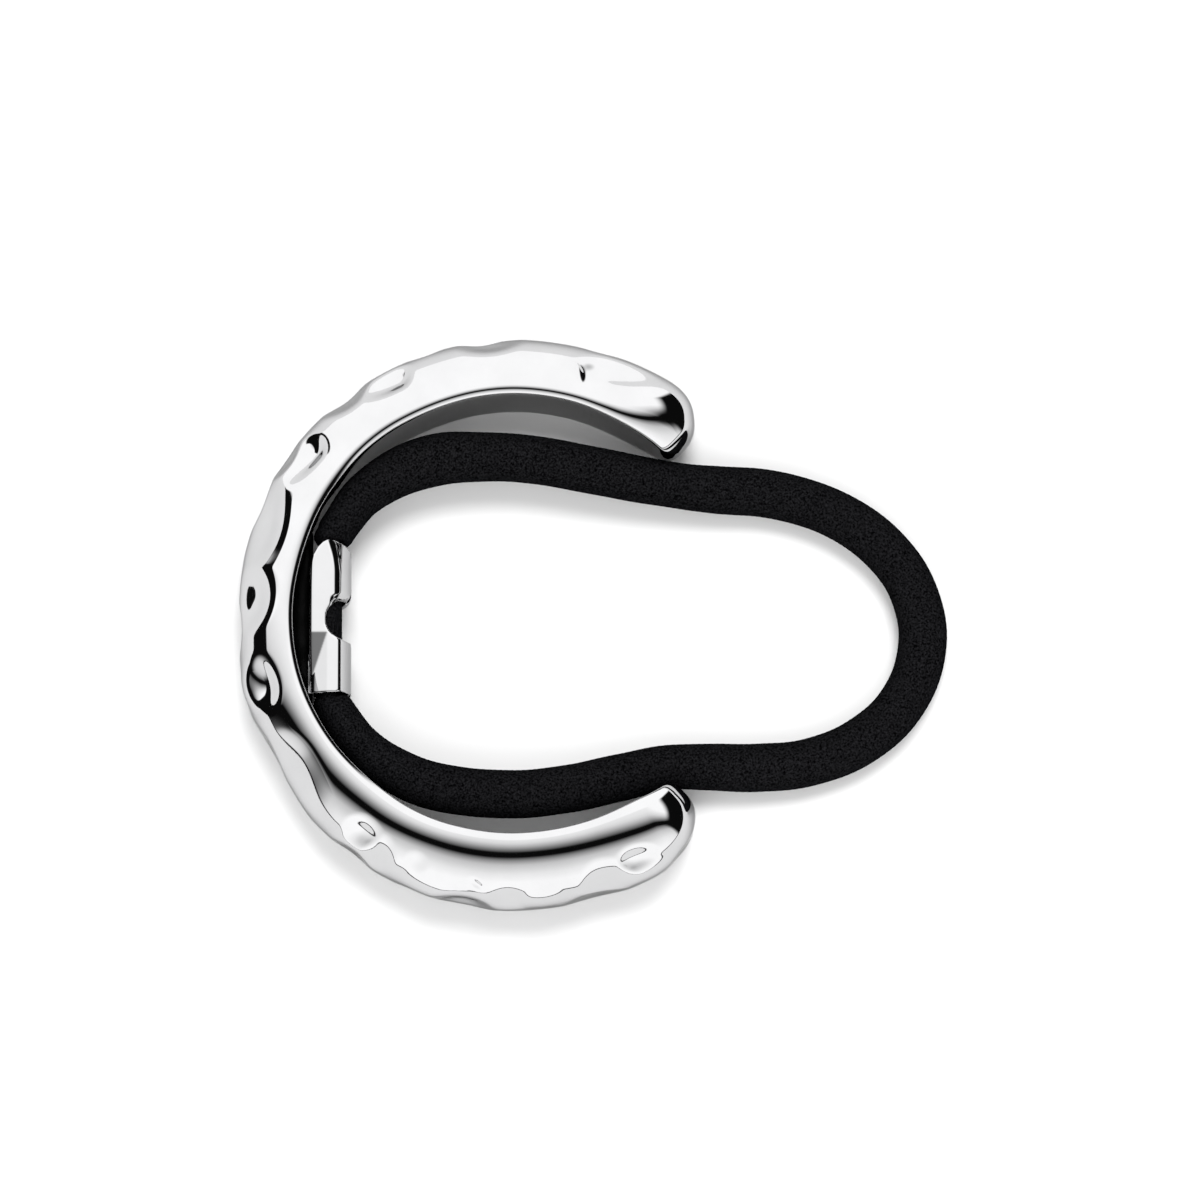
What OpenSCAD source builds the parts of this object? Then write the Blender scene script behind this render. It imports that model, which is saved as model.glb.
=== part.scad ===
// Ponytail cuff: an open C of polished, dented metal with a crimped bracket
// soldered inside its back, and a fabric-covered elastic loop that runs
// through the bracket. It lies on its lower edge, with +Z along the ponytail,
// +X towards the mouth of the C and the origin on the surface that it lies on,
// at the centre of the round hollow.

/* [Cuff] */
// Inner diameter of the C
cuff_inner_d = 40; // [38:0.5:42]
// Height of the band, along the ponytail
cuff_h = 9.4; // [9:0.1:10.6]
// Thickness of the band, as a multiple of the table's
wall_scale = 1; // [0.85:0.05:1.15]
// Angle from the middle of the mouth to each rounded end
mouth_half_angle = 46; // [44:1:52]
// Width of the flat polished land along the upper and lower edge
land_w = 0.4; // [0.3:0.1:0.7]
// Rounding of the edge between the land and the inner wall
edge_round = 0.35; // [0.2:0.05:0.4]
// Length over which the end on the +Y side rounds off in thickness
tip_len = 5; // [4:0.2:6]
// Length over which the end on the +Y side rounds off in height
tip_len_h = 7; // [5:0.2:7]
// Length over which the end on the -Y side rounds off in thickness
tip2_len = 6.8; // [5:0.2:7]
// Length over which the end on the -Y side rounds off in height
tip2_len_h = 4.4; // [3.6:0.2:6]
// Depth of all the dents, as a multiple of the table's
dent_scale = 1; // [0:0.1:1.3]

/* [Bracket] */
// Length of the bracket along the elastic
bracket_len = 13.4; // [13:0.2:14.6]
// Height of the bracket
bracket_h = 6.6; // [6.4:0.1:7]
// Thickness of the bracket's metal
bracket_t = 0.7; // [0.65:0.05:0.75]
// Width of the channel that grips the elastic
channel_w = 2.7; // [2.6:0.1:3.2]
// Radius of the half-round notch between the claws
notch_r = 1.9; // [1.5:0.1:2.2]
// Gap between the ends of the upper and the lower claws
claw_gap = 1.2; // [0.8:0.1:2]

/* [Elastic] */
// Thickness of the covered elastic, as a multiple of the table's
elastic_scale = 1; // [0.9:0.02:1]

/* [Hidden] */

inner_r = cuff_inner_d / 2;
half_h = cuff_h / 2;

// ---- the band ----
// The band was bent and dented by hand, so it is a little uneven. Columns:
// angle round the C from the mouth (degrees), how far the inner wall stands
// outside the true circle (mm), thickness before the dents (mm)
WALL = [
    [ 46,  0.10, 6.05],
    [ 62, -0.15, 6.05],
    [ 78,  0.00, 5.70],
    [ 95,  0.05, 5.75],
    [112,  0.00, 5.70],
    [130,  0.12, 5.50],
    [148,  0.00, 5.55],
    [165, -0.12, 5.35],
    [180,  0.00, 4.85],
    [196,  0.05, 5.30],
    [212,  0.00, 5.10],
    [228, -0.10, 5.95],
    [245,  0.05, 6.05],
    [262, -0.05, 6.40],
    [280, -0.12, 6.35],
    [296, -0.05, 6.45],
    [314,  0.45, 6.20]
];

// The dents, hammered all over the outer face. Columns: angle round the C
// (degrees), place on the section (degrees, 0 at the middle of the outer face,
// 90 at the upper edge), length along the band (mm), width across it (mm),
// depth (mm, below zero where the metal is raised beside a dent), turn of the
// long axis (degrees), lean: how much further the dent runs from its deepest
// point towards larger angles than towards smaller ones
DENTS = [
    // the clear scoops of the upper side, and the shoulders raised below some
    [ 69.5, 56,  9.0, 5.2,  0.44,   6, -0.20],
    [116.5, 45,  6.4, 4.6,  0.76,   4,  0.40],
    [140.8, 51,  6.8, 4.8,  0.95,   0,  0.40],
    [145.0, 20,  4.8, 5.0,  0.42,  20,  0],
    [160.5, 40, 10.5, 7.4,  0.84,  10,  0],
    [175.8, 44,  7.8, 7.2,  1.02,  -8,  0],
    [180.0, 12, 10.5, 4.0, -0.10,   0,  0],
    [196.0, 53,  6.4, 4.6,  0.70,   0, -0.10],
    [195.0, 22,  5.8, 3.8, -0.46,   0,  0],
    [215.0, 42, 10.2, 6.6,  0.40,  -4,  0.20],
    [235.2, 47,  4.8, 4.2,  0.52,   6,  0.15],
    [233.0, 15,  4.8, 3.6, -0.12,   0,  0],
    [240.4, 36,  3.8, 5.4,  0.42,   0,  0],
    [253.5, 18,  8.5, 4.6, -0.24,   0,  0],
    [248.5, 50,  2.6, 2.6,  0.12,   0,  0],
    [262.0, 45,  2.0, 1.0,  0.14, -40,  0],
    [268.5, 26,  4.0, 4.6,  0.24,   0,  0],
    [275.5, 22,  4.6, 4.0, -0.18,   0,  0],
    [288.0, 30,  5.8, 6.0,  0.50,   0,  0.20],
    [295.4, 47,  4.6, 3.4,  0.50,  10,  0.15],
    [298.0, 20,  6.5, 4.2, -0.24,   0,  0],
    // the dips of the outline
    [ 73.0, -4,  5.0, 4.8,  0.40,   0,  0],
    [ 95.5, 26,  6.8, 6.0,  0.56,   0,  0],
    [ 97.5,  2,  5.0, 5.0,  0.46,   0,  0],
    [109.0,  0,  4.0, 4.6,  0.36,   0,  0],
    [127.5, 24,  6.0, 6.2,  0.54,   0,  0],
    [127.5,  0,  5.6, 5.0,  0.40,   0,  0],
    [155.0,  2,  6.0, 5.0,  0.36,   0,  0],
    [182.0,  0,  5.6, 5.0,  0.45,   0,  0],
    [208.0,  0,  7.0, 5.0,  0.38,   0,  0],
    [235.0,  0,  4.8, 5.0,  0.52,   0,  0],
    [259.5,  4,  6.0, 5.4,  0.74,   0,  0],
    [286.0,  0,  6.4, 5.0,  0.46,   0,  0],
    [306.0, -2,  5.0, 5.2,  0.42,   0,  0],
    // the lower side
    [ 62, -34, 5.0, 4.4, 0.36,  15, 0],
    [ 84, -30, 4.8, 4.2, 0.38, -20, 0],
    [103, -40, 5.2, 4.0, 0.42,  10, 0],
    [116, -26, 4.8, 4.6, 0.38, -25, 0],
    [131, -48, 5.0, 3.8, 0.36,  15, 0],
    [142, -18, 4.2, 4.6, 0.42,   0, 0],
    [156, -42, 5.0, 4.2, 0.40,  25, 0],
    [170, -24, 4.4, 4.6, 0.38, -15, 0],
    [184, -46, 5.2, 3.8, 0.40,   5, 0],
    [198, -24, 4.6, 4.6, 0.44,  20, 0],
    [213, -42, 5.0, 4.0, 0.38, -10, 0],
    [228, -22, 4.4, 4.4, 0.36,  25, 0],
    [243, -44, 5.0, 4.4, 0.42,  -5, 0],
    [250, -18, 4.2, 4.0, 0.38,   0, 0],
    [272, -34, 5.0, 4.0, 0.38, -20, 0],
    [292, -40, 4.6, 4.4, 0.40,  10, 0],
    [303, -30, 4.0, 4.0, 0.30,   0, 0]
];

// How full the outer curve of the section is, outwards and upwards: 2 is an ellipse
full_out = 2.05;
full_up = 2.1;
// Steps of the outer curve of one section, sections between the ends, and at each end
curve_n = 24;
ring_n = 96;
tip_n = 9;
// Steps of the rounded inner edge
edge_n = 3;

function sum(v, i = 0) = i >= len(v) ? 0 : v[i] + sum(v, i + 1);

// A column of the wall table at any angle, as one smooth curve
function near_row(a, row) = exp(-pow((a - row[0]) / 9.5, 2));
function wall_column(a, c) =
    let(w = [for (row = WALL) near_row(a, row)])
    sum([for (i = [0 : len(WALL) - 1]) w[i] * WALL[i][c]]) / sum(w);

// Arc length from the nearer end of the C, along the middle of the band, in mm
mid_r = inner_r + 2.6;
function from_end(a) = (180 - mouth_half_angle - abs(a - 180)) * PI / 180 * mid_r;
// Rounding of an end: 0 at the tip, 1 where the full section begins
function rounded(s, len, p) = pow(max(0, 1 - pow(max(0, min(1, 1 - s / len)), p)), 1 / p);
function thin_at(a) = rounded(from_end(a), a < 180 ? tip_len : tip2_len, 2.4);
function low_at(a) = rounded(from_end(a), a < 180 ? tip_len_h : tip2_len_h, 2.5);
// Thickness and half height of the band at an angle
function wall_at(a) = wall_scale * wall_column(a, 2) * thin_at(a);
function half_h_at(a) = half_h * low_at(a);
// The inner wall turns outwards at the very end, in a quarter circle
corner_r = 1.5;
function inner_at(a) = inner_r + wall_column(a, 1) + corner_r * (1 - sqrt(1 - pow(max(0, 1 - from_end(a) / corner_r), 2)));
// How much of the thumb-like rounding near an end a section has
function near_end(a) = exp(-pow(from_end(a) / 5.5, 2));
function edge_growth(a) = near_end(a) * (a < 180 ? 1 : 0.35);

// Depth of one dent at an angle and a place on the section
function dent_d(row, a, q) =
    let(
        x = (a - row[0]) * PI / 180 * (inner_r + 4.5),
        y = (q - row[1]) * PI / 180 * half_h * 1.1,
        u0 = (x * cos(row[5]) + y * sin(row[5])) / (row[2] / 2),
        u = u0 / (1 + row[6] * sign(u0)),
        v = (y * cos(row[5]) - x * sin(row[5])) / (row[3] / 2),
        d = u * u + v * v
    )
    d >= 1 ? 0 : row[4] * pow(1 - d, 2);
// Where dents meet, the deeper one counts; the raised shoulders are laid on top
function dents(a, q) =
    let(all = [for (row = DENTS) if (abs(a - row[0]) < 18) dent_d(row, a, q)])
    dent_scale * (pow(sum([for (d = all) pow(max(0, d), 4)]), 0.25) + sum([for (d = all) min(0, d)]));

// A point of the outer curve: q is 90 at the upper edge, 0 at the middle
function outer_point(a, q) =
    let(
        hh = half_h_at(a),
        edge = (edge_round + land_w + 2 * edge_growth(a)) * thin_at(a),
        reach = max(0.02, wall_at(a) - edge),
        c = pow(abs(cos(q)), 2 / (full_out + 1.2 * near_end(a))),
        s = sign(q) * pow(abs(sin(q)), 2 / full_up),
        inwards = dents(a, q) * thin_at(a),
        nx = cos(q) / reach,
        nz = sin(q) / hh,
        nl = norm([nx, nz])
    )
    [edge + reach * c - inwards * nx / nl, hh * s - inwards * nz / nl];

// The closed outline of one section, as [out from the inner wall, up from the middle]
function section(a) =
    let(
        hh = half_h_at(a),
        ex = (edge_round + 2 * edge_growth(a)) * thin_at(a),
        ez = (edge_round + 0.6 * edge_growth(a)) * low_at(a),
        round_edge = [for (i = [0 : edge_n]) [ex * (1 - cos(90 * i / edge_n)), hh - ez * (1 - sin(90 * i / edge_n))]]
    )
    concat(
        [[0, 0]],
        round_edge,
        [for (i = [0 : curve_n]) outer_point(a, 90 - 180 * i / curve_n)],
        [for (i = [edge_n : -1 : 0]) [round_edge[i][0], -round_edge[i][1]]]
    );

// Angles of the sections: close together at the two ends, even between
tip_span = 7 / mid_r * 180 / PI;
function tip_step(i) = tip_span * (1 - cos(90 * (i - 0.6) / (tip_n - 0.6)));
ANGLES = concat(
    [for (i = [1 : tip_n]) mouth_half_angle + tip_step(i)],
    [for (i = [1 : ring_n - 1]) mouth_half_angle + tip_span + (360 - 2 * mouth_half_angle - 2 * tip_span) * i / ring_n],
    [for (i = [tip_n : -1 : 1]) 360 - mouth_half_angle - tip_step(i)]
);

// A skin over a row of rings with equal numbers of points, closed by a fan at each end
module swept(rings) {
    n = len(rings[0]);
    m = len(rings);
    mid = [for (r = [rings[0], rings[m - 1]]) (r[0] + r[1] + r[floor(n / 2)] + r[n - 1]) / 4];
    polyhedron(
        points = concat([for (r = rings) for (p = r) p], mid),
        faces = concat(
            [for (i = [0 : n - 1]) [m * n, i, (i + 1) % n]],
            [for (i = [0 : n - 1]) [m * n + 1, (m - 1) * n + (i + 1) % n, (m - 1) * n + i]],
            [for (j = [0 : m - 2]) for (i = [0 : n - 1])
                let(a = j * n + i, b = j * n + (i + 1) % n)
                each [[a, a + n, b + n], [a, b + n, b]]]
        ),
        convexity = 6
    );
}

module cuff_body() {
    swept([for (a = ANGLES) [for (p = section(a))
        let(r = inner_at(a) + p[0]) [r * cos(a), r * sin(a), half_h + p[1]]]]);
}

// ---- the bracket ----
// Its straight back meets the round wall at its two ends
back_x = -sqrt(inner_r * inner_r - bracket_len * bracket_len / 4);
channel_x = back_x + bracket_t + channel_w / 2;
front_x = back_x + 2 * bracket_t + channel_w;

// A bar along Y with four round edges
module bar(x0, x1, len, h, r, n) {
    for (x = [x0 + r, x1 - r]) for (z = [-1, 1])
        translate([x, len / 2, half_h + z * (h / 2 - r)]) rotate([90, 0, 0]) cylinder(r = r, h = len, $fn = n);
    translate([x0 + r, -len / 2, half_h - h / 2]) cube([x1 - x0 - 2 * r, len, h]);
    translate([x0, -len / 2, half_h - h / 2 + r]) cube([x1 - x0, len, h - 2 * r]);
}

module bracket() {
    difference() {
        bar(back_x, front_x, bracket_len, bracket_h, 1.5, 28);
        // the channel
        bar(back_x + bracket_t, front_x - bracket_t, 2 * bracket_len, bracket_h - 2 * bracket_t, 0.9, 24);
        // the gap between the upper and lower claws
        translate([channel_x, -bracket_len, half_h - claw_gap / 2]) cube([channel_w, 2 * bracket_len, claw_gap]);
        // the half-round notches between the claws
        translate([front_x - 0.45, -0.3, half_h - bracket_h]) cylinder(r = notch_r, h = 2 * bracket_h, $fn = 36);
    }
}

// The two beads of solder between the bracket's back and the wall
module solder() {
    for (s = [-1, 1])
        translate([back_x - 0.85, s > 0 ? bracket_len / 2 - 2.2 : -bracket_len / 2 + 0.2, half_h - 1.8]) cube([1.25, 2, 3.6]);
}

module cuff() {
    color([0.80, 0.80, 0.81]) union() {
        cuff_body();
        solder();
        bracket();
    }
}

// ---- the elastic ----
// Its closed route, from inside the bracket up along the +Y side to the far
// end, which droops onto the surface, and back along the -Y side. Columns:
// x, y, height of its middle above the surface, width and height of its
// section. It is squeezed in the bracket, where it presses on the wall beside
// it, and between the two ends of the C.
ROUTE = [
    [-16.75,  0.0, 4.7, 2.2, 4.9],
    [-16.75,  3.4, 4.7, 2.2, 4.9],
    [-16.75,  7.0, 4.7, 2.2, 4.8],
    [-16.64,  7.5, 4.7, 2.7, 4.8],
    [-16.37,  7.9, 4.7, 3.5, 4.7],
    [-15.75, 8.85, 4.7, 3.5, 4.7],
    [-13.82, 11.42, 4.7, 3.85, 4.6],
    [-10.9,  13.5, 4.7, 4.2, 4.5],
    [ -7.3,  14.8, 4.7, 4.4, 4.4],
    [ -3.2,  15.1, 4.6, 4.4, 4.4],
    [  1.2,  14.9, 4.5, 4.4, 4.4],
    [  5.6,  14.2, 4.2, 4.4, 4.4],
    [ 10.0,  13.4, 3.8, 4.3, 4.4],
    [ 14.2, 12.75, 3.3, 4.2, 4.4],
    [ 18.2,  12.4, 2.7, 4.4, 4.4],
    [ 22.1,  12.2, 2.4, 4.4, 4.4],
    [ 26.2,  11.3, 2.3, 4.4, 4.4],
    [ 30.2,   9.5, 2.3, 4.4, 4.4],
    [ 33.6,   6.7, 2.3, 4.4, 4.4],
    [ 35.8,   3.3, 2.3, 4.4, 4.4],
    [ 36.7,  -0.7, 2.3, 4.4, 4.4],
    [ 36.0,  -4.7, 2.3, 4.4, 4.4],
    [ 33.9,  -8.2, 2.3, 4.4, 4.4],
    [ 30.5, -10.9, 2.3, 4.4, 4.4],
    [ 26.3, -12.5, 2.3, 4.4, 4.4],
    [ 22.0, -13.0, 2.5, 4.4, 4.4],
    [ 17.8, -13.0, 2.8, 4.3, 4.4],
    [ 13.6, -13.1, 3.3, 4.1, 4.4],
    [  9.4, -14.1, 3.8, 4.3, 4.4],
    [  5.2, -15.1, 4.2, 4.4, 4.4],
    [  0.8, -15.7, 4.5, 4.4, 4.4],
    [ -3.6, -15.6, 4.6, 4.4, 4.4],
    [ -7.8, -14.9, 4.7, 4.4, 4.4],
    [-11.4, -13.3, 4.7, 4.1, 4.5],
    [-14.1, -11.15, 4.7, 3.7, 4.6],
    [-15.77, -8.85, 4.7, 3.55, 4.7],
    [-16.38, -7.9, 4.7, 3.5, 4.7],
    [-16.64, -7.5, 4.7, 2.7, 4.8],
    [-16.75, -7.0, 4.7, 2.2, 4.8],
    [-16.75, -3.4, 4.7, 2.2, 4.9]
];
elastic_sides = 12;
rings_per_row = 2;

// The route follows the bracket and the hollow when their sizes change
grow = cuff_inner_d / 40;
function placed(p) =
    let(
        beside = p[0] < 0 ? 1 - min(1, max(0, abs(p[1]) - 7) / 7) : 0,
        x = p[0] * grow + (channel_x - ROUTE[0][0] * grow) * beside,
        y = p[1] * (beside > 0 ? 1 + (grow - 1) * (1 - beside) : grow)
    )
    [x, y, p[2] * (cuff_h / 9.4 * (p[2] > 2.6 ? 1 : 0) + (p[2] > 2.6 ? 0 : 1)), p[3] * elastic_scale, p[4] * elastic_scale];
LOOP = [for (p = ROUTE) placed(p)];

function wrap(i) = LOOP[(i + len(LOOP)) % len(LOOP)];
// A smooth curve through the rows
function smooth(i, t) =
    let(a = wrap(i - 1), b = wrap(i), c = wrap(i + 1), d = wrap(i + 2))
    0.5 * (2 * b + (c - a) * t + (2 * a - 5 * b + 4 * c - d) * t * t + (3 * b - a - 3 * c + d) * t * t * t);
LINE = [for (i = [0 : len(LOOP) - 1]) for (k = [0 : rings_per_row - 1]) smooth(i, k / rings_per_row)];

module elastic_loop() {
    n = elastic_sides;
    m = len(LINE);
    pts = [for (j = [0 : m - 1])
        let(
            p = LINE[j], before = LINE[(j + m - 1) % m], after = LINE[(j + 1) % m],
            along = [after[0] - before[0], after[1] - before[1]],
            side = [along[1], -along[0]] / norm(along)
        )
        for (i = [0 : n - 1])
            let(a = 360 * (i + 0.5) / n, s = p[3] / 2 * cos(a), u = p[4] / 2 * sin(a))
            [p[0] + side[0] * s, p[1] + side[1] * s, p[2] + u]];
    color([0.07, 0.07, 0.08])
    polyhedron(
        points = pts,
        faces = [for (j = [0 : m - 1]) for (i = [0 : n - 1])
            let(a = j * n + i, b = j * n + (i + 1) % n, c = ((j + 1) % m) * n + i, d = ((j + 1) % m) * n + (i + 1) % n)
            each [[a, b, d], [a, d, c]]],
        convexity = 6
    );
}

cuff();
elastic_loop();
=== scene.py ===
import math

import bmesh
import bpy
import numpy as np
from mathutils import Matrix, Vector


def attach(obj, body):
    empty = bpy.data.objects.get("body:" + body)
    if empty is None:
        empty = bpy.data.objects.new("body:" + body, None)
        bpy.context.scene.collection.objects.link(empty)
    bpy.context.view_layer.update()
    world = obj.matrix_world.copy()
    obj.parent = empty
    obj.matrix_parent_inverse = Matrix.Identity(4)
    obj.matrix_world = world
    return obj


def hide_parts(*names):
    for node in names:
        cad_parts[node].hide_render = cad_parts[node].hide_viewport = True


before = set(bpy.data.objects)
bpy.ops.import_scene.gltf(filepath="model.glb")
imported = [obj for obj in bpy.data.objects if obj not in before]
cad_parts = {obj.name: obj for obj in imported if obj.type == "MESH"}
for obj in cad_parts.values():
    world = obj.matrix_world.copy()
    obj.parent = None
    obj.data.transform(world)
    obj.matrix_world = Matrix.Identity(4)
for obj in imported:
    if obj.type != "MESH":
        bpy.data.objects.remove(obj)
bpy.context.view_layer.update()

MM = 0.001

# ---------------------------------------------------------------- camera
# It looks down at 80 degrees through a long lens.
HEIGHT = 9.4
ELEVATION = math.radians(80.0)
DISTANCE = 1.0
PX_PER_MM = 223.1 / 20.0          # at the top edge of the band, in a frame 1200 wide
back = Vector((0, -math.cos(ELEVATION), math.sin(ELEVATION)))
up = Vector((0, math.sin(ELEVATION), math.cos(ELEVATION)))
target = Vector(((600 - 515.6) / PX_PER_MM, 0, HEIGHT)) * MM + up * ((612.4 - 600) / PX_PER_MM * MM)
cam_data = bpy.data.cameras.new("camera")
cam_data.sensor_width = 36.0
cam_data.lens = 36.0 * DISTANCE / (1200 / PX_PER_MM * MM)
cam_data.clip_start = 0.05
cam_data.clip_end = 20.0
cam = bpy.data.objects.new("camera", cam_data)
bpy.context.scene.collection.objects.link(cam)
cam.location = target + back * DISTANCE
cam.rotation_euler = (math.pi / 2 - ELEVATION, 0, 0)
bpy.context.scene.camera = cam


def mesh_object(name, verts, faces, smooth=True):
    me = bpy.data.meshes.new(name)
    me.from_pydata([tuple(v) for v in verts], [], [tuple(int(i) for i in f) for f in faces])
    me.validate()
    me.update()
    if smooth:
        me.polygons.foreach_set("use_smooth", [True] * len(me.polygons))
    ob = bpy.data.objects.new(name, me)
    bpy.context.scene.collection.objects.link(ob)
    return ob


def grid_faces(m, n, wrap_m=False, wrap_n=True):
    j = np.arange(m if wrap_m else m - 1)[:, None]
    i = np.arange(n if wrap_n else n - 1)[None, :]
    a = j * n + i
    b = j * n + (i + 1) % n
    c = ((j + 1) % m) * n + i
    d = ((j + 1) % m) * n + (i + 1) % n
    return np.stack([a, c, d, b], -1).reshape(-1, 4)


# ---------------------------------------------------------------- the elastic
# The closed route: x, y, height of the middle, width and height of the section, in mm
ROUTE = np.array([
    [-16.75,  0.0, 4.7, 2.2, 4.9],
    [-16.75,  3.4, 4.7, 2.2, 4.9],
    [-16.75,  7.0, 4.7, 2.2, 4.8],
    [-16.64,  7.5, 4.7, 2.7, 4.8],
    [-16.37,  7.9, 4.7, 3.5, 4.7],
    [-15.75, 8.85, 4.7, 3.5, 4.7],
    [-13.82, 11.42, 4.7, 3.85, 4.6],
    [-10.9,  13.5, 4.7, 4.2, 4.5],
    [ -7.3,  14.8, 4.7, 4.4, 4.4],
    [ -3.2,  15.1, 4.6, 4.4, 4.4],
    [  1.2,  14.9, 4.5, 4.4, 4.4],
    [  5.6,  14.2, 4.2, 4.4, 4.4],
    [ 10.0,  13.4, 3.8, 4.3, 4.4],
    [ 14.2, 12.75, 3.3, 4.2, 4.4],
    [ 18.2,  12.4, 2.7, 4.4, 4.4],
    [ 22.1,  12.2, 2.4, 4.4, 4.4],
    [ 26.2,  11.3, 2.3, 4.4, 4.4],
    [ 30.2,   9.5, 2.3, 4.4, 4.4],
    [ 33.6,   6.7, 2.3, 4.4, 4.4],
    [ 35.8,   3.3, 2.3, 4.4, 4.4],
    [ 36.7,  -0.7, 2.3, 4.4, 4.4],
    [ 36.0,  -4.7, 2.3, 4.4, 4.4],
    [ 33.9,  -8.2, 2.3, 4.4, 4.4],
    [ 30.5, -10.9, 2.3, 4.4, 4.4],
    [ 26.3, -12.5, 2.3, 4.4, 4.4],
    [ 22.0, -13.0, 2.5, 4.4, 4.4],
    [ 17.8, -13.0, 2.8, 4.3, 4.4],
    [ 13.6, -13.1, 3.3, 4.1, 4.4],
    [  9.4, -14.1, 3.8, 4.3, 4.4],
    [  5.2, -15.1, 4.2, 4.4, 4.4],
    [  0.8, -15.7, 4.5, 4.4, 4.4],
    [ -3.6, -15.6, 4.6, 4.4, 4.4],
    [ -7.8, -14.9, 4.7, 4.4, 4.4],
    [-11.4, -13.3, 4.7, 4.1, 4.5],
    [-14.1, -11.15, 4.7, 3.7, 4.6],
    [-15.77, -8.85, 4.7, 3.55, 4.7],
    [-16.38, -7.9, 4.7, 3.5, 4.7],
    [-16.64, -7.5, 4.7, 2.7, 4.8],
    [-16.75, -7.0, 4.7, 2.2, 4.8],
    [-16.75, -3.4, 4.7, 2.2, 4.9],
])


def smooth_loop(rows, per):
    """Catmull-Rom through the closed rows, per steps a row."""
    n = len(rows)
    t = np.arange(per) / per
    out = []
    for i in range(n):
        a, b, c, d = rows[i - 1], rows[i], rows[(i + 1) % n], rows[(i + 2) % n]
        for k in t:
            out.append(0.5 * (2 * b + (c - a) * k + (2 * a - 5 * b + 4 * c - d) * k * k + (3 * b - a - 3 * c + d) * k ** 3))
    return np.array(out)


def even_loop(rows, count):
    """The same curve at count even steps of its length."""
    fine = smooth_loop(rows, 60)
    closed = np.vstack([fine, fine[:1]])
    s = np.concatenate([[0], np.cumsum(np.linalg.norm(np.diff(closed[:, :3], axis=0), axis=1))])
    at = np.linspace(0, s[-1], count, endpoint=False)
    return np.stack([np.interp(at, s, closed[:, c]) for c in range(closed.shape[1])], -1), s[-1]


ELASTIC_M, ELASTIC_N = 1100, 72
line, loop_len = even_loop(ROUTE, ELASTIC_M)
# take out the small steps in the curvature that a row-by-row curve has
for _ in range(6):
    line = 0.25 * np.roll(line, 1, 0) + 0.5 * line + 0.25 * np.roll(line, -1, 0)
tan = np.roll(line[:, :3], -1, 0) - np.roll(line[:, :3], 1, 0)
tan /= np.linalg.norm(tan, axis=1, keepdims=True)
side = np.cross(tan, [0, 0, 1.0])
side /= np.linalg.norm(side, axis=1, keepdims=True)
lift = np.cross(side, tan)
ang = 2 * np.pi * np.arange(ELASTIC_N) / ELASTIC_N
rng = np.random.default_rng(7)
along = np.arange(ELASTIC_M)[:, None] / ELASTIC_M * loop_len
# a fine knit: ribs along the elastic and rows across it, and a slow unevenness
ribs = 0.010 * np.cos(ang[None, :] * 24 + 0.5 * np.sin(along * 0.9))
rows_ = 0.006 * np.cos(along * 2 * np.pi / 0.55 + 3 * ang[None, :])
slow = 0.012 * np.sin(along * 0.55 + 2 * ang[None, :]) + 0.010 * np.sin(along * 1.3 - ang[None, :] + 1.7)
swell = 1.0 * np.ones((ELASTIC_M, 1))
rad = -0.03 + (ribs + rows_ + slow) * swell
cu, su = np.cos(ang)[None, :], np.sin(ang)[None, :]
w2, h2 = line[:, 3:4] / 2, line[:, 4:5] / 2
# squeezed by the bracket, it stands up taller beside it
squeezed = np.exp(-((np.abs(line[:, 1:2]) - 9.6) / 2.5) ** 2) * np.clip((-9.0 - line[:, 0:1]) / 2.5, 0, 1)
squeezed *= np.clip((np.abs(line[:, 1:2]) - 6.9) / 1.0, 0, 1)
h2 = h2 + 0.62 * squeezed
w2 = w2 + 0.40 * np.exp(-((np.abs(line[:, 1:2]) - 7.3) / 0.3) ** 2) * (line[:, 0:1] < -15)
w2 = w2 + 0.22 * np.exp(-((line[:, 0:1] + 7.5) / 4.2) ** 2) * np.clip(line[:, 1:2] / 5, 0, 1)
line[:, 2:3] += 0.55 * squeezed
P = (line[:, None, :3]
     + side[:, None, :] * ((w2 + rad) * cu)[..., None]
     + lift[:, None, :] * ((h2 + rad) * su)[..., None])
P[..., 2] = np.maximum(P[..., 2], 0.03)
elastic = mesh_object("elastic_cover", P.reshape(-1, 3) * MM, grid_faces(ELASTIC_M, ELASTIC_N, wrap_m=True))
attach(elastic, "root")
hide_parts("elastic_loop")

# ---------------------------------------------------------------- the band
INNER_R = 20.0
HALF_H = HEIGHT / 2
END = 46.0
TIP_LEN, TIP_LEN_LOW, TIP_LEN_H, TIP_LEN_H_LOW = 5.0, 6.8, 7.0, 4.4
LAND, EDGE_X, EDGE_Z = 0.02, 0.73, 0.36
TIP_R = 1.5
FULL_OUT, FULL_UP = 2.05, 2.1
MID_R = INNER_R + 2.6
# angle, how far the inner wall stands outside the true circle, thickness
WALL = np.array([
    [46, 0.10, 6.05], [62, -0.15, 6.05], [78, 0.00, 5.70], [95, 0.05, 5.75],
    [112, 0.00, 5.70], [130, 0.12, 5.50], [148, 0.00, 5.55], [165, -0.12, 5.35],
    [180, 0.00, 4.85], [196, 0.05, 5.30], [212, 0.00, 5.10], [228, -0.10, 5.95],
    [245, 0.05, 6.05], [262, -0.05, 6.40], [280, -0.12, 6.35], [296, -0.05, 6.45],
    [314, 0.45, 6.20],
])
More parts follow.
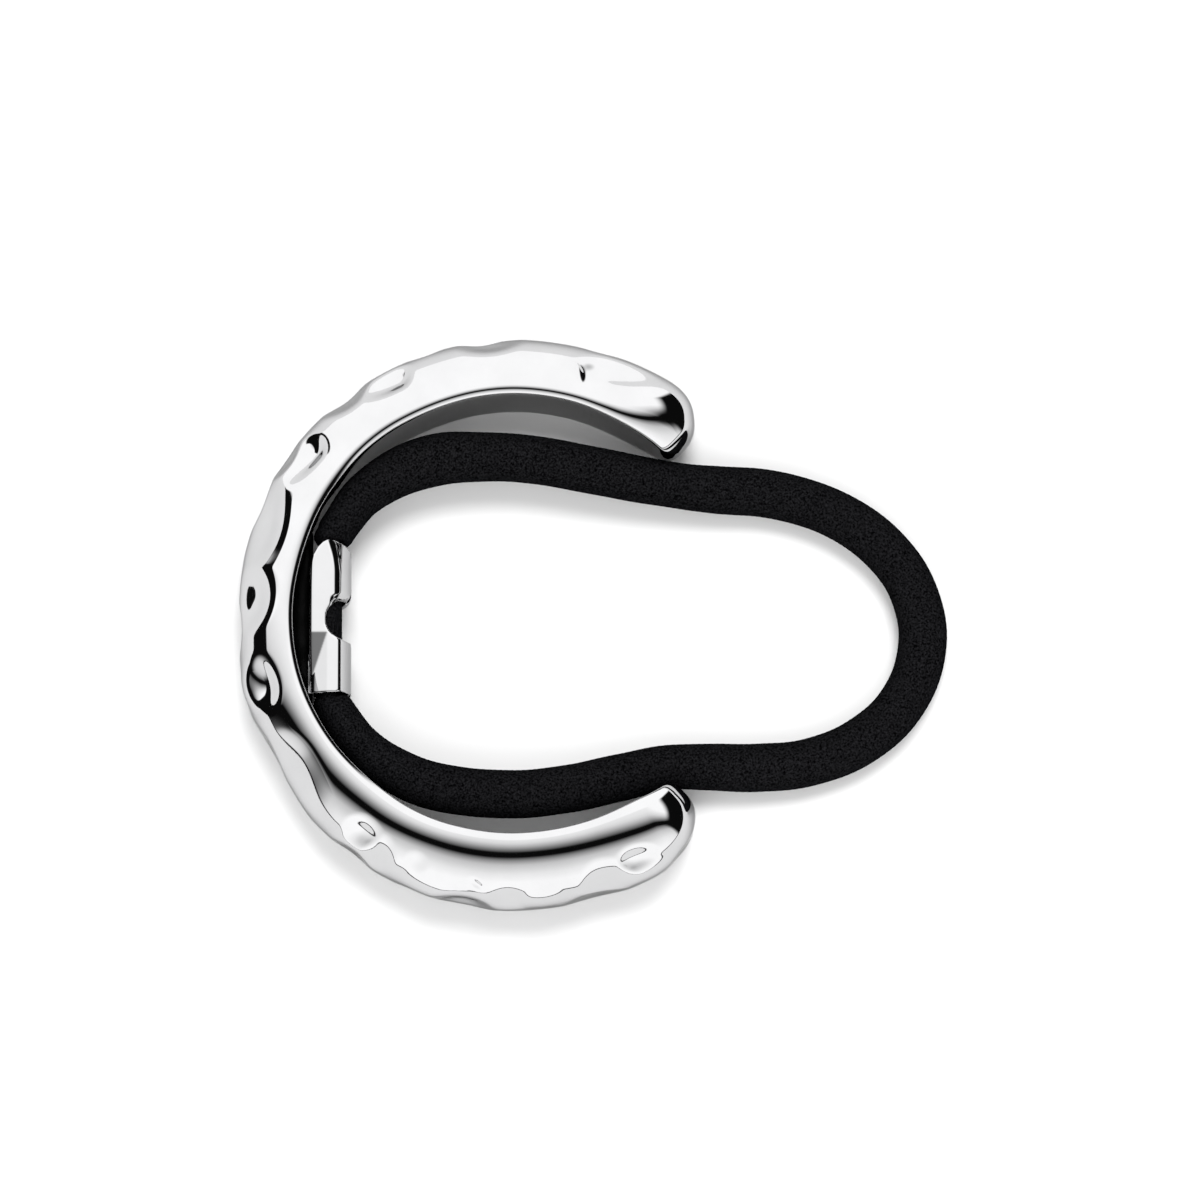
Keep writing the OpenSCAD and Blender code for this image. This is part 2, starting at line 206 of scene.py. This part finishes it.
# angle, place on the section, length, width, depth (below zero it is raised), turn, lean: how
# much further the dent runs from its deepest point towards larger angles than towards smaller
DENTS = np.array([
    # the clear scoops of the upper side, and the shoulders raised below some of them
    [69.5, 56, 9.0, 5.2, 0.58, 6, -0.20], [75.8, 66, 3.4, 1.4, -0.12, 121, 0], [116.5, 45, 6.4, 4.6, 0.76, 4, 0.40],
    [140.8, 51, 6.8, 4.8, 0.95, 0, 0.40], [145.0, 20, 4.8, 5.0, 0.42, 20, 0],
    [160.5, 40, 10.5, 7.4, 0.84, 10, 0],
    [175.8, 44, 7.8, 7.2, 0.80, -8, 0], [180.0, 12, 10.5, 4.0, -0.10, 0, 0],
    [196.0, 53, 6.4, 4.6, 0.80, 0, -0.10], [195.0, 22, 5.8, 3.8, -0.30, 0, 0],
    [215.0, 42, 10.2, 6.6, 0.40, -4, 0.20], [235.2, 47, 4.8, 4.2, 0.52, 6, 0.15],
    [233.0, 15, 4.8, 3.6, -0.12, 0, 0], [240.4, 36, 3.8, 5.4, 0.42, 0, 0],
    [253.5, 18, 8.5, 4.6, -0.24, 0, 0], [248.5, 50, 2.6, 2.6, 0.12, 0, 0],
    [262.0, 45, 2.0, 1.0, 0.14, -40, 0], [268.5, 26, 4.0, 4.6, 0.24, 0, 0],
    [275.5, 22, 4.6, 4.0, -0.18, 0, 0], [288.0, 30, 5.8, 6.0, 0.50, 0, 0.20],
    [295.4, 47, 4.6, 3.4, 0.50, 10, 0.15], [298.0, 20, 6.5, 4.2, -0.24, 0, 0],
    # the dips of the outline
    [73, -4, 5.0, 4.8, 0.40, 0, 0], [95.5, 26, 6.8, 6.0, 0.56, 0, 0], [97.5, 2, 5.0, 5.0, 0.46, 0, 0],
    [109, 0, 4.0, 4.6, 0.36, 0, 0], [127.5, 24, 6.0, 6.2, 0.54, 0, 0], [127.5, 0, 5.6, 5.0, 0.40, 0, 0],
    [155, 2, 6.0, 5.0, 0.36, 0, 0], [182, 0, 5.6, 5.0, 0.45, 0, 0], [208, 0, 7.0, 5.0, 0.38, 0, 0],
    [235, 0, 4.8, 5.0, 0.52, 0, 0], [259.5, 4, 6.0, 5.4, 0.74, 0, 0], [286, 0, 6.4, 5.0, 0.46, 0, 0],
    [306, -2, 5.0, 5.2, 0.42, 0, 0],
    # the lower side
    [62, -34, 5.0, 4.4, 0.36, 15, 0], [84, -30, 4.8, 4.2, 0.38, -20, 0], [103, -40, 5.2, 4.0, 0.42, 10, 0],
    [116, -26, 4.8, 4.6, 0.38, -25, 0], [131, -48, 5.0, 3.8, 0.36, 15, 0], [142, -18, 4.2, 4.6, 0.42, 0, 0],
    [156, -42, 5.0, 4.2, 0.40, 25, 0], [170, -24, 4.4, 4.6, 0.38, -15, 0], [184, -46, 5.2, 3.8, 0.40, 5, 0],
    [198, -24, 4.6, 4.6, 0.44, 20, 0], [213, -42, 5.0, 4.0, 0.38, -10, 0], [228, -22, 4.4, 4.4, 0.36, 25, 0],
    [243, -44, 5.0, 4.4, 0.42, -5, 0], [250, -18, 4.2, 4.0, 0.38, 0, 0], [272, -34, 5.0, 4.0, 0.38, -20, 0],
    [292, -40, 4.6, 4.4, 0.40, 10, 0], [303, -30, 4.0, 4.0, 0.30, 0, 0],
])


def wall_column(a, c):
    w = np.exp(-((a[..., None] - WALL[:, 0]) / 9.5) ** 2)
    return (w * WALL[:, c]).sum(-1) / w.sum(-1)


def from_end(a):
    return (180 - END - np.abs(a - 180)) * np.pi / 180 * MID_R


def rounded(s, length, p):
    return np.maximum(0, 1 - np.clip(1 - s / length, 0, 1) ** p) ** (1 / p)


def dents(a, q):
    cuts = np.zeros(np.broadcast(a, q).shape)
    raised = np.zeros_like(cuts)
    for row in DENTS:
        x = np.radians(a - row[0]) * (INNER_R + 4.5)
        y = np.radians(q - row[1]) * HALF_H * 1.1
        c, s = math.cos(math.radians(row[5])), math.sin(math.radians(row[5]))
        u = (x * c + y * s) / (row[2] / 2)
        u = u / (1 + row[6] * np.sign(u))
        v = (y * c - x * s) / (row[3] / 2)
        f = row[4] * np.clip(1 - u * u - v * v, 0, 1) ** 2
        cuts += np.maximum(f, 0) ** 4
        raised -= np.minimum(f, 0)
    return cuts ** 0.25 - raised


def band_rings(angles, outer_n, edge_n, wall_n):
    """Every ring of the band, as points in mm."""
    a = angles[:, None]
    s = from_end(a)
    ft = rounded(s, np.where(a < 180, TIP_LEN, TIP_LEN_LOW), 2.4)
    fh = rounded(s, np.where(a < 180, TIP_LEN_H, TIP_LEN_H_LOW), 2.5)
    t = wall_column(a, 2) * ft
    hh = HALF_H * fh
    inner = INNER_R + wall_column(a, 1) + TIP_R * (1 - np.sqrt(1 - np.clip(1 - s / TIP_R, 0, 1) ** 2))
    # the inner edge gets rounder towards the ends
    g = np.exp(-(s / 5.5) ** 2) * np.where(a < 180, 1.0, 0.35)
    ex = (EDGE_X + 2.0 * g) * ft
    ez = (EDGE_Z + 0.6 * g) * fh
    edge = ex + LAND * ft
    # the inner edge, rounded
    f = np.linspace(0, np.pi / 2, edge_n)[None, :]
    top_x, top_z = ex * (1 - np.cos(f)), hh - ez * (1 - np.sin(f))
    # the outer curve
    q = np.linspace(90, -90, outer_n)[None, :]
    reach = np.maximum(0.02, t - edge)
    qr = np.radians(q)
    c = np.abs(np.cos(qr)) ** (2 / (FULL_OUT + 1.2 * np.exp(-(s / 5.5) ** 2)))
    u = np.sign(qr) * np.abs(np.sin(qr)) ** (2 / FULL_UP)
    inwards = dents(a, q) * ft
    nx, nz = np.cos(qr) / reach, np.sin(qr) / np.maximum(hh, 0.05)
    nl = np.hypot(nx, nz)
    out_x = edge + reach * c - inwards * nx / nl
    out_z = hh * u - inwards * nz / nl
    # the inner wall
    g = np.linspace(-1, 1, wall_n + 2)[None, 1:-1]
    in_x, in_z = np.zeros_like(g) * hh, (hh - ez) * g
    xs = np.concatenate([top_x, out_x, top_x[:, ::-1], in_x], 1)
    zs = np.concatenate([top_z, out_z, -top_z[:, ::-1], in_z], 1)
    r = inner + xs
    ar = np.radians(a)
    return np.stack([r * np.cos(ar), r * np.sin(ar), HALF_H + zs], -1)


tip_deg = math.degrees(7.0 / MID_R)
TIP_N, RING_N = 100, 516
steps = tip_deg * (1 - np.cos(np.pi / 2 * (np.arange(TIP_N) + 0.35) / TIP_N))
angles = np.concatenate([
    END + steps,
    np.linspace(END + tip_deg, 360 - END - tip_deg, RING_N),
    (360 - END - steps)[::-1],
])
rings = band_rings(angles, 100, 14, 8)
m, n = rings.shape[:2]
faces = [tuple(f) for f in grid_faces(m, n)]
faces += [tuple(range(n)), tuple((m - 1) * n + i for i in range(n - 1, -1, -1))]
band = mesh_object("band", rings.reshape(-1, 3) * MM, faces)
bm = bmesh.new()
bm.from_mesh(band.data)
bmesh.ops.recalc_face_normals(bm, faces=bm.faces)
bm.to_mesh(band.data)
bm.free()
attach(band, "root")

# ---------------------------------------------------------------- the bracket
BR_T = 0.68


def soften(points, times, closed=True):
    """Round the corners of a line by cutting them again and again."""
    p = np.array(points, float)
    for _ in range(times):
        nxt = np.roll(p, -1, 0) if closed else p[1:]
        cur = p if closed else p[:-1]
        q = np.empty((len(cur) * 2, p.shape[1]))
        q[0::2] = 0.75 * cur + 0.25 * nxt
        q[1::2] = 0.25 * cur + 0.75 * nxt
        p = q if closed else np.vstack([p[:1], q, p[-1:]])
    return p


def prism(name, outline, y0, y1):
    n = len(outline)
    v = [(x, y0, z) for x, z in outline] + [(x, y1, z) for x, z in outline]
    f = [tuple(range(n)), tuple(range(2 * n - 1, n - 1, -1))] + [(i, n + i, n + (i + 1) % n, (i + 1) % n) for i in range(n)]
    ob = mesh_object(name, np.array(v), f, smooth=False)
    b = bmesh.new()
    b.from_mesh(ob.data)
    bmesh.ops.recalc_face_normals(b, faces=b.faces)
    b.to_mesh(ob.data)
    b.free()
    return ob


def cut(target_ob, tool, op="DIFFERENCE"):
    mod = target_ob.modifiers.new("cut", "BOOLEAN")
    mod.object = tool
    mod.operation = op
    mod.solver = "EXACT"
    apply_modifiers(target_ob)
    bpy.data.objects.remove(tool, do_unlink=True)


def apply_modifiers(ob):
    dg = bpy.context.evaluated_depsgraph_get()
    me = bpy.data.meshes.new_from_object(ob.evaluated_get(dg))
    old = ob.data
    ob.modifiers.clear()
    ob.data = me
    bpy.data.meshes.remove(old)


# the bent sheet, seen along the elastic: out round the outside and back along the inside
def sheet_profile(outer, inner):
    outer, inner = soften(outer, 3, closed=False), soften(inner, 3, closed=False)
    return [(x, HALF_H + z) for x, z in np.vstack([outer[1:], inner[::-1], (inner * [1, -1])[1:], (outer * [1, -1])[::-1]])]


back_line = [(-18.62, 0), (-18.62, 2.0), (-18.62, 3.3), (-17.5, 3.3)]
under = [(-17.94, 0), (-17.94, 2.0), (-17.94, 2.62), (-17.3, 2.62), (-16.9, 2.62), (-16.45, 2.58), (-16.1, 2.2), (-15.72, 1.45), (-15.44, 0.56)]
# the upper claw bends wide, the lower one tight
wide = sheet_profile(back_line + [(-16.75, 3.3), (-16.15, 3.24), (-15.7, 2.85), (-15.4, 2.35), (-15.08, 1.65), (-14.8, 0.75)], under)
tight = sheet_profile(back_line + [(-16.3, 3.3), (-15.76, 3.28), (-15.4, 2.62), (-15.08, 1.75), (-14.8, 0.75)], under)
br = prism("bracket", wide, -0.3, 7.2)
br_low = prism("bracket_low", tight, -7.2, -0.2)
# its outline from above: an arched upper end, and a half-round notch between the claws
arc = [(-15.2 + 1.88 * math.cos(a), -0.3 + 1.88 * math.sin(a)) for a in np.linspace(math.radians(-75), math.radians(-262), 30)]
plan = [(-18.9, -7.05), (-16.5, -7.0), (-14.95, -6.9), (-14.5, -6.3), (-14.42, -4.2), (-14.5, -2.5)] + arc + [
    (-15.2, 1.68), (-15.0, 1.9), (-14.82, 2.3), (-14.7, 2.9), (-14.6, 3.8), (-14.65, 5.5), (-14.9, 6.2),
    (-15.4, 6.55), (-16.3, 6.85), (-16.9, 6.97), (-17.35, 6.75), (-17.8, 6.3), (-18.2, 5.6), (-18.5, 4.7), (-18.7, 3.8), (-18.9, 3.0)]
n = len(plan)
nv = [(x, y, -5) for x, y in plan] + [(x, y, 15) for x, y in plan]
nf = [tuple(range(n - 1, -1, -1)), tuple(range(n, 2 * n))] + [(i, (i + 1) % n, n + (i + 1) % n, n + i) for i in range(n)]
for sheet in (br, br_low):
    plan_ob = mesh_object("plan", np.array(nv), nf, smooth=False)
    b = bmesh.new()
    b.from_mesh(plan_ob.data)
    bmesh.ops.recalc_face_normals(b, faces=b.faces)
    b.to_mesh(plan_ob.data)
    b.free()
    cut(sheet, plan_ob, "INTERSECT")
cut(br, br_low, "UNION")
mod = br.modifiers.new("remesh", "REMESH")
mod.mode = "VOXEL"
mod.voxel_size = 0.085
mod.adaptivity = 0
mod.use_smooth_shade = True
mod = br.modifiers.new("smooth", "SMOOTH")
mod.factor = 0.5
mod.iterations = 8
apply_modifiers(br)
co = np.empty(len(br.data.vertices) * 3)
br.data.vertices.foreach_get("co", co)
co = co.reshape(-1, 3)
facing = np.empty(len(br.data.vertices) * 3)
br.data.vertices.foreach_get("normal", facing)
top = np.clip(facing.reshape(-1, 3)[:, 2] * 2.5, 0, 1) * np.clip((co[:, 2] - HALF_H) / 0.8, 0, 1)
# the plate is pressed down towards its lower left corner, in two flat facets
south = -1.5 - co[:, 1]
fall = np.maximum(0, np.minimum(0.125 * south, 0.37 * (-16.9 - co[:, 0])))
# the upper claw rolls down beside the notch, and at its end
notch = np.clip(1 - (np.hypot(co[:, 0] + 15.2, co[:, 1] + 0.3) - 1.88) / 0.6, 0, 1)
fall += 0.62 * notch ** 1.3 * np.clip(co[:, 1] / 0.8, 0, 1) * np.clip((co[:, 0] + 16.7) / 0.5, 0, 1)
tip = np.clip((co[:, 1] - 4.0) / 2.9, 0, 1)
fall += 0.34 * tip * np.clip((co[:, 0] + 16.25 + 0.75 * tip) / 0.8, 0, 1) ** 1.5
co[:, 2] -= fall * top
br.data.vertices.foreach_set("co", (co * MM).ravel())
br.data.polygons.foreach_set("use_smooth", [True] * len(br.data.polygons))
br.data.update()
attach(br, "root")

# a solder fillet between the bracket's back and the wall, coloured near black and dull as painted shade for the dark
# gap there
sol = []
SOLDER_N = 41
for y in np.linspace(-7.9, 7.9, SOLDER_N):
    x0 = -math.sqrt(20.2 ** 2 - y * y)
    # it runs out past the bracket's ends and up the wall there, painting shade over the patch beside the bracket's
    # ends
    high = 5.6 + 2.7 * min(1, max(0, (abs(y) - 6.6) / 0.5))
    for x, z in soften([(x0 - 0.1, 2.9), (-18.3, 3.2), (-18.3, high), (x0 - 0.1, high)], 2):
        sol.append((x, y, z - 0.5 * (y / 6.4) ** 2 + 0.15 * math.sin(y * 2.1)))
k = len(sol) // SOLDER_N
sf = [tuple(f) for f in grid_faces(SOLDER_N, k)] + [tuple(range(k)), tuple((SOLDER_N - 1) * k + i for i in range(k - 1, -1, -1))]
solder = mesh_object("solder", np.array(sol) * MM, sf)
bm = bmesh.new()
bm.from_mesh(solder.data)
bmesh.ops.recalc_face_normals(bm, faces=bm.faces)
bm.to_mesh(solder.data)
bm.free()
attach(solder, "root")
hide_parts("cuff")

# ---------------------------------------------------------------- materials
def new_material(name):
    mat = bpy.data.materials.new(name)
    mat.use_nodes = True
    nt = mat.node_tree
    nt.nodes.clear()
    out = nt.nodes.new("ShaderNodeOutputMaterial")
    bsdf = nt.nodes.new("ShaderNodeBsdfPrincipled")
    nt.links.new(bsdf.outputs[0], out.inputs["Surface"])
    return mat, nt, bsdf


def node(nt, kind, **values):
    nd = nt.nodes.new(kind)
    for key, value in values.items():
        if key in nd.inputs:
            nd.inputs[key].default_value = value
        else:
            setattr(nd, key, value)
    return nd


def coords(nt, scale):
    tc = node(nt, "ShaderNodeTexCoord")
    mp = node(nt, "ShaderNodeMapping")
    mp.inputs["Scale"].default_value = scale if hasattr(scale, "__len__") else (scale,) * 3
    nt.links.new(tc.outputs["Object"], mp.inputs["Vector"])
    return mp.outputs["Vector"]


def metal(name, tint, smooth, dull):
    mat, nt, bsdf = new_material(name)
    bsdf.inputs["Metallic"].default_value = 1.0
    bsdf.inputs["Specular Tint"].default_value = (0.42, 0.42, 0.42, 1)
    v = coords(nt, 1.0)
    tone = node(nt, "ShaderNodeTexNoise", Scale=260.0, Detail=4.0, Roughness=0.55)
    nt.links.new(v, tone.inputs["Vector"])
    ramp = node(nt, "ShaderNodeValToRGB")
    ramp.color_ramp.elements[0].position = 0.35
    ramp.color_ramp.elements[0].color = (tint[0] * 0.96, tint[1] * 0.96, tint[2] * 0.96, 1)
    ramp.color_ramp.elements[1].position = 0.65
    ramp.color_ramp.elements[1].color = (*tint, 1)
    nt.links.new(tone.outputs["Fac"], ramp.inputs["Fac"])
    nt.links.new(ramp.outputs["Color"], bsdf.inputs["Base Color"])
    haze = node(nt, "ShaderNodeTexNoise", Scale=900.0, Detail=5.0, Roughness=0.6)
    nt.links.new(v, haze.inputs["Vector"])
    rough = node(nt, "ShaderNodeMapRange")
    rough.inputs["From Min"].default_value = 0.3
    rough.inputs["From Max"].default_value = 0.75
    rough.inputs["To Min"].default_value = smooth
    rough.inputs["To Max"].default_value = dull
    nt.links.new(haze.outputs["Fac"], rough.inputs["Value"])
    nt.links.new(rough.outputs["Result"], bsdf.inputs["Roughness"])
    return mat


def fabric(name):
    mat, nt, bsdf = new_material(name)
    v = coords(nt, 1.0)
    fine = node(nt, "ShaderNodeTexNoise", Scale=5200.0, Detail=3.0, Roughness=0.7)
    nt.links.new(v, fine.inputs["Vector"])
    ramp = node(nt, "ShaderNodeValToRGB")
    ramp.color_ramp.elements[0].position = 0.38
    ramp.color_ramp.elements[0].color = (0.0003, 0.0003, 0.0004, 1)
    ramp.color_ramp.elements[1].position = 0.70
    ramp.color_ramp.elements[1].color = (0.0140, 0.0140, 0.0154, 1)
    nt.links.new(fine.outputs["Fac"], ramp.inputs["Fac"])
    nt.links.new(ramp.outputs["Color"], bsdf.inputs["Base Color"])
    bsdf.inputs["Roughness"].default_value = 0.95
    bsdf.inputs["Specular IOR Level"].default_value = 0.0
    bump = node(nt, "ShaderNodeBump", Strength=0.5, Distance=0.00008)
    nt.links.new(fine.outputs["Fac"], bump.inputs["Height"])
    nt.links.new(bump.outputs["Normal"], bsdf.inputs["Normal"])
    return mat


silver = metal("silver_plate", (0.53, 0.53, 0.535), 0.03, 0.06)
# the fillet's near-black colour is painted shade, not the solder's own colour
solder.data.materials.append(metal("dull_solder", (0.012, 0.012, 0.012), 0.5, 0.65))
band.data.materials.append(silver)
br.data.materials.append(silver)
elastic.data.materials.append(fabric("knitted_cover"))

# ---------------------------------------------------------------- floor and light
floor = mesh_object("floor", np.array([(-1.5, -1.5, 0), (1.5, -1.5, 0), (1.5, 1.5, 0), (-1.5, 1.5, 0)]), [(0, 1, 2, 3)], smooth=False)
mat, nt, bsdf = new_material("pale_floor")
bsdf.inputs["Base Color"].default_value = (0.80, 0.80, 0.80, 1)
bsdf.inputs["Roughness"].default_value = 0.9
bsdf.inputs["Specular IOR Level"].default_value = 0.0
floor.data.materials.append(mat)

world = bpy.data.worlds.new("studio")
bpy.context.scene.world = world
world.use_nodes = True
wt = world.node_tree
wt.nodes.clear()
w_out = node(wt, "ShaderNodeOutputWorld")
w_bg = node(wt, "ShaderNodeBackground")
wt.links.new(w_bg.outputs[0], w_out.inputs["Surface"])
w_tc = node(wt, "ShaderNodeTexCoord")


def plug(sock, value):
    if isinstance(value, (int, float)):
        sock.default_value = value
    else:
        wt.links.new(value, sock)


def math_node(op, a, b=0.0, clamp=False):
    nd = node(wt, "ShaderNodeMath", operation=op, use_clamp=clamp)
    plug(nd.inputs[0], a)
    plug(nd.inputs[1], b)
    return nd.outputs[0]


def dot(vec):
    nd = node(wt, "ShaderNodeVectorMath", operation="DOT_PRODUCT")
    wt.links.new(w_tc.outputs["Generated"], nd.inputs[0])
    nd.inputs[1].default_value = vec
    return nd.outputs["Value"]


def step(value, lo, hi, y0=0.0, y1=1.0):
    nd = node(wt, "ShaderNodeMapRange", interpolation_type="SMOOTHSTEP")
    plug(nd.inputs["Value"], value)
    nd.inputs["From Min"].default_value = lo
    nd.inputs["From Max"].default_value = hi
    nd.inputs["To Min"].default_value = y0
    nd.inputs["To Max"].default_value = y1
    return nd.outputs["Result"]


dx, dy, dz = dot((1, 0, 0)), dot((0, 1, 0)), dot((0, 0, 1))


def both(a, b):
    return math_node("MINIMUM", a, b)


def either(a, b):
    return math_node("MAXIMUM", a, b)


def ramp(value, points):
    """Brightness along value, from (place, brightness) points."""
    lo, hi = points[0][0], points[-1][0]
    nd = node(wt, "ShaderNodeValToRGB")
    plug(nd.inputs["Fac"], step_linear(value, lo, hi))
    el = nd.color_ramp.elements
    while len(el) < len(points):
        el.new(0.5)
    for e, (p, b) in zip(el, points):
        e.position = (p - lo) / (hi - lo)
        e.color = (b, b, b, 1)
    return nd.outputs["Color"]


def step_linear(value, lo, hi):
    nd = node(wt, "ShaderNodeMapRange")
    plug(nd.inputs["Value"], value)
    nd.inputs["From Min"].default_value = lo
    nd.inputs["From Max"].default_value = hi
    return nd.outputs["Result"]


def toward(azimuth):
    a = math.radians(azimuth)
    return dot((math.cos(a), math.sin(a), 0))


def sine(deg):
    return math.sin(math.radians(deg))


# two large diffusers overhead with a narrow dark slit between them, where the camera looks through
s = dot((0, 0.985, 0.174))
diffusers = ramp(s, [(sine(-90), 1.0), (sine(-50), 1.0), (sine(-34), 0.85), (sine(-18), 0.57), (sine(-11), 0.27),
                     (sine(-5.5), 0.0), (sine(1.5), 0.0), (sine(6.6), 0.24), (sine(14.6), 0.72), (sine(22), 1.0), (sine(90), 1.0)])
# they end 50 degrees from overhead on the left, and 33 on the right
over = both(step(math_node("ADD", dx, math_node("MULTIPLY", dz, 1.19)), -0.03, 0.05),
            step(math_node("SUBTRACT", math_node("MULTIPLY", dz, 0.65), dx), -0.06, 0.22))
# white walls at the back and the front, and open dark sides
rear_wall = both(step(toward(54 + 90), -0.02, 0.08), step(toward(148 - 90), -0.02, 0.08))
front_wall = both(step(toward(-27 - 90), -0.02, 0.12), step(toward(198 + 90), -0.06, 0.20))
shell = either(over, either(rear_wall, front_wall))
# a thin dark gap between the table and the walls, but not at the back
gap = either(step(dz, 0.02, 0.05), step(dy, 0.4, 0.7))
total = math_node("MULTIPLY", diffusers, math_node("MULTIPLY", shell, gap))
strength = math_node("ADD", math_node("MULTIPLY", total, 1.80), 0.006)
wt.links.new(strength, w_bg.inputs["Strength"])
w_bg.inputs["Color"].default_value = (1, 1, 1, 1)
world.cycles_visibility.diffuse = False


def lamp(name, polar, azimuth, spread, power):
    """A soft studio lamp far away, as a wide sun."""
    data = bpy.data.lights.new(name, "SUN")
    data.angle = math.radians(spread)
    data.energy = power
    ob = bpy.data.objects.new(name, data)
    bpy.context.scene.collection.objects.link(ob)
    p, a = math.radians(polar), math.radians(azimuth)
    way = Vector((math.sin(p) * math.cos(a), math.sin(p) * math.sin(a), math.cos(p)))
    ob.rotation_euler = way.to_track_quat("Z", "Y").to_euler()
    ob.visible_glossy = False
    return ob


lamp("key", 22, 78, 26, 2.3)
lamp("front", 48, 268, 60, 1.7)
lamp("overhead", 0, 0, 150, 2.2)

view = bpy.context.scene.view_settings
view.view_transform = "Standard"
view.look = "None"
view.exposure = 0.0
view.gamma = 1.0
